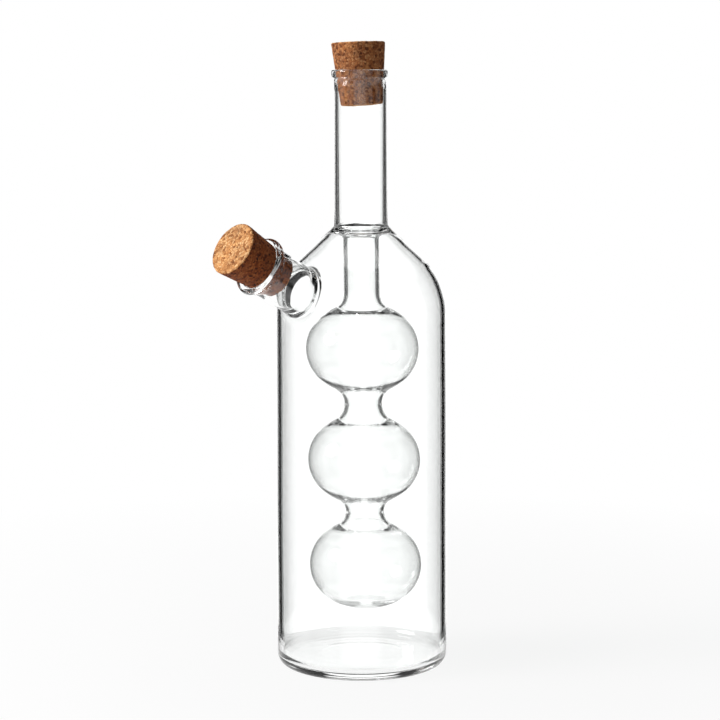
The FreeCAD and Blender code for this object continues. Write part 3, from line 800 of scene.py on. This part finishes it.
def floor_material():
    """A pale floor: seen by the camera or through glass, nearly all its white is its own."""
    material, shading = new_material("floor_white")
    plain = shading.add("ShaderNodeBsdfDiffuse", Color=(0.9, 0.9, 0.9, 1))
    white = shading.add("ShaderNodeEmission", Color=WHITE)
    away = shading.add("ShaderNodeVectorMath", {"operation": "LENGTH"})
    shading.feed(away.inputs[0], shading.add("ShaderNodeNewGeometry").outputs["Position"])
    own = shading.span(away.outputs["Value"], *FLOOR_FADE)
    seen = seen_ray(shading, ("Is Transmission Ray", "Is Glossy Ray", "Is Camera Ray"))
    shading.finish(shading.either(shading.math("MULTIPLY", seen, own), plain.outputs[0],
                                  white.outputs[0]))
    return material


def make_floor(material):
    """A disc under the bottle, and round it a wide ring that glass neither mirrors nor bends."""
    count = FLOOR_AROUND
    turn = np.arange(count) * 2 * math.pi / count
    near, far = ([(radius * math.cos(a), radius * math.sin(a), 0) for a in turn]
                 for radius in (NEAR_FLOOR, FAR_FLOOR))
    ring = [(k, (k + 1) % count, count + (k + 1) % count, count + k) for k in range(count)]
    for name, verts, faces in (("floor_near", near, [tuple(range(count))]),
                               ("floor_far", near + far, ring)):
        mesh = bpy.data.meshes.new(name)
        mesh.from_pydata(verts, [], faces)
        mesh.materials.append(material)
        floor = place_object(name, mesh)
        if name == "floor_far":
            floor.visible_transmission = floor.visible_glossy = False


def studio_world():
    """Even white light and background, and for glass the white panels of a dark studio."""
    world = bpy.data.worlds.new("studio")
    bpy.context.scene.world = world
    shading = Shading(world, "ShaderNodeOutputWorld")
    way = shading.add("ShaderNodeSeparateXYZ",
                      Vector=shading.add("ShaderNodeTexCoord").outputs["Generated"])
    heading = shading.math("ARCTAN2", way.outputs["X"],
                           shading.math("MULTIPLY", way.outputs["Y"], -1.0))
    path = shading.add("ShaderNodeLightPath")
    mirrored = shading.math("GREATER_THAN", path.outputs["Glossy Depth"], 0.5)
    panels = 0.0
    for middle, half, soft, level, kept in PANELS:
        middle, half, soft = (math.radians(angle) for angle in (middle, half, soft))
        past = shading.math("SUBTRACT", heading, middle)
        apart = shading.math("ABSOLUTE", shading.math("WRAP", past, math.pi, -math.pi))
        even = shading.span(apart, half * 0.3, half, level, level * EDGE_LEVEL)
        glow = shading.math("MULTIPLY", even, shading.span(apart, half, half + soft, 1.0, 0.0))
        share = shading.math("MULTIPLY_ADD", mirrored, kept - 1.0, 1.0)
        panels = shading.math("MAXIMUM", panels, shading.math("MULTIPLY", glow, share))
    low, high = (math.sin(math.radians(angle)) for angle in PANEL_TOP)
    lit = shading.math("MULTIPLY", panels, shading.span(way.outputs["Z"], low, high, 1.0, 0.03))
    low, high = (math.sin(math.radians(angle)) for angle in FLOOR_GLOW)
    lit = shading.math("MAXIMUM", lit, shading.span(way.outputs["Z"], low, high, 0.0, 1.0))
    sky = shading.add("ShaderNodeBackground", Color=WHITE, Strength=SKY_LEVEL)
    shown = shading.add("ShaderNodeBackground", Color=lit, Strength=PANEL_LEVEL)
    white = shading.add("ShaderNodeBackground", Color=WHITE)
    direct = shading.math("LESS_THAN", path.outputs["Diffuse Depth"], 0.5)
    through_glass = shading.math("MULTIPLY", direct,
                                 seen_ray(shading, ("Is Transmission Ray", "Is Glossy Ray")))
    light = shading.either(through_glass, sky.outputs[0], shown.outputs[0])
    shading.finish(shading.either(seen_ray(shading, ("Is Camera Ray",)), light, white.outputs[0]))


def lamp(name, away, aside, height, size, power):
    """A round soft lamp aimed at the bottle, placed from it towards and beside the camera."""
    place = BACK * away + RIGHT * aside + Vector((0, 0, height))
    data = bpy.data.lights.new(name, "AREA")
    data.shape = "DISK"
    data.size, data.energy = size, power
    made = place_object(name, data)
    made.location = place
    made.rotation_euler = (Vector((0, 0, LAMP_AIM_Z)) - place).to_track_quat("-Z", "Y").to_euler()


def make_camera():
    data = bpy.data.cameras.new("camera")
    data.lens, data.sensor_width, data.clip_start = LENS, SENSOR, CLIP
    camera = place_object("camera", data)
    camera.location = BACK * CAM_AWAY + Vector((0, 0, CAM_Z))
    aim = Vector((0, 0, AIM_Z)) + RIGHT * AIM_ASIDE
    level = (aim - camera.location).to_track_quat("-Z", "Y")
    camera.rotation_euler = (level @ Quaternion((0, 0, 1), ROLL)).to_euler()
    return camera


# ---------------------------------------------------------------- build
glass, cork = glass_material(), cork_material()
for piece, node, slot in ((make_bottle(glass), "glass_bottle", "clear_glass"),
                          (cork_for_neck(cork), "neck_cork", "cork"),
                          (cork_for_spout(cork), "spout_cork", "cork")):
    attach(piece, "root")
    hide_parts(node)

make_floor(floor_material())
studio_world()
for settings in LAMPS:
    lamp(*settings)

scene = bpy.context.scene
scene.camera = make_camera()
scene.view_settings.view_transform = "Standard"
scene.cycles.caustics_reflective = scene.cycles.caustics_refractive = False
scene.cycles.max_bounces = scene.cycles.transmission_bounces = 32
scene.cycles.glossy_bounces = 16
scene.cycles.transparent_max_bounces = 24
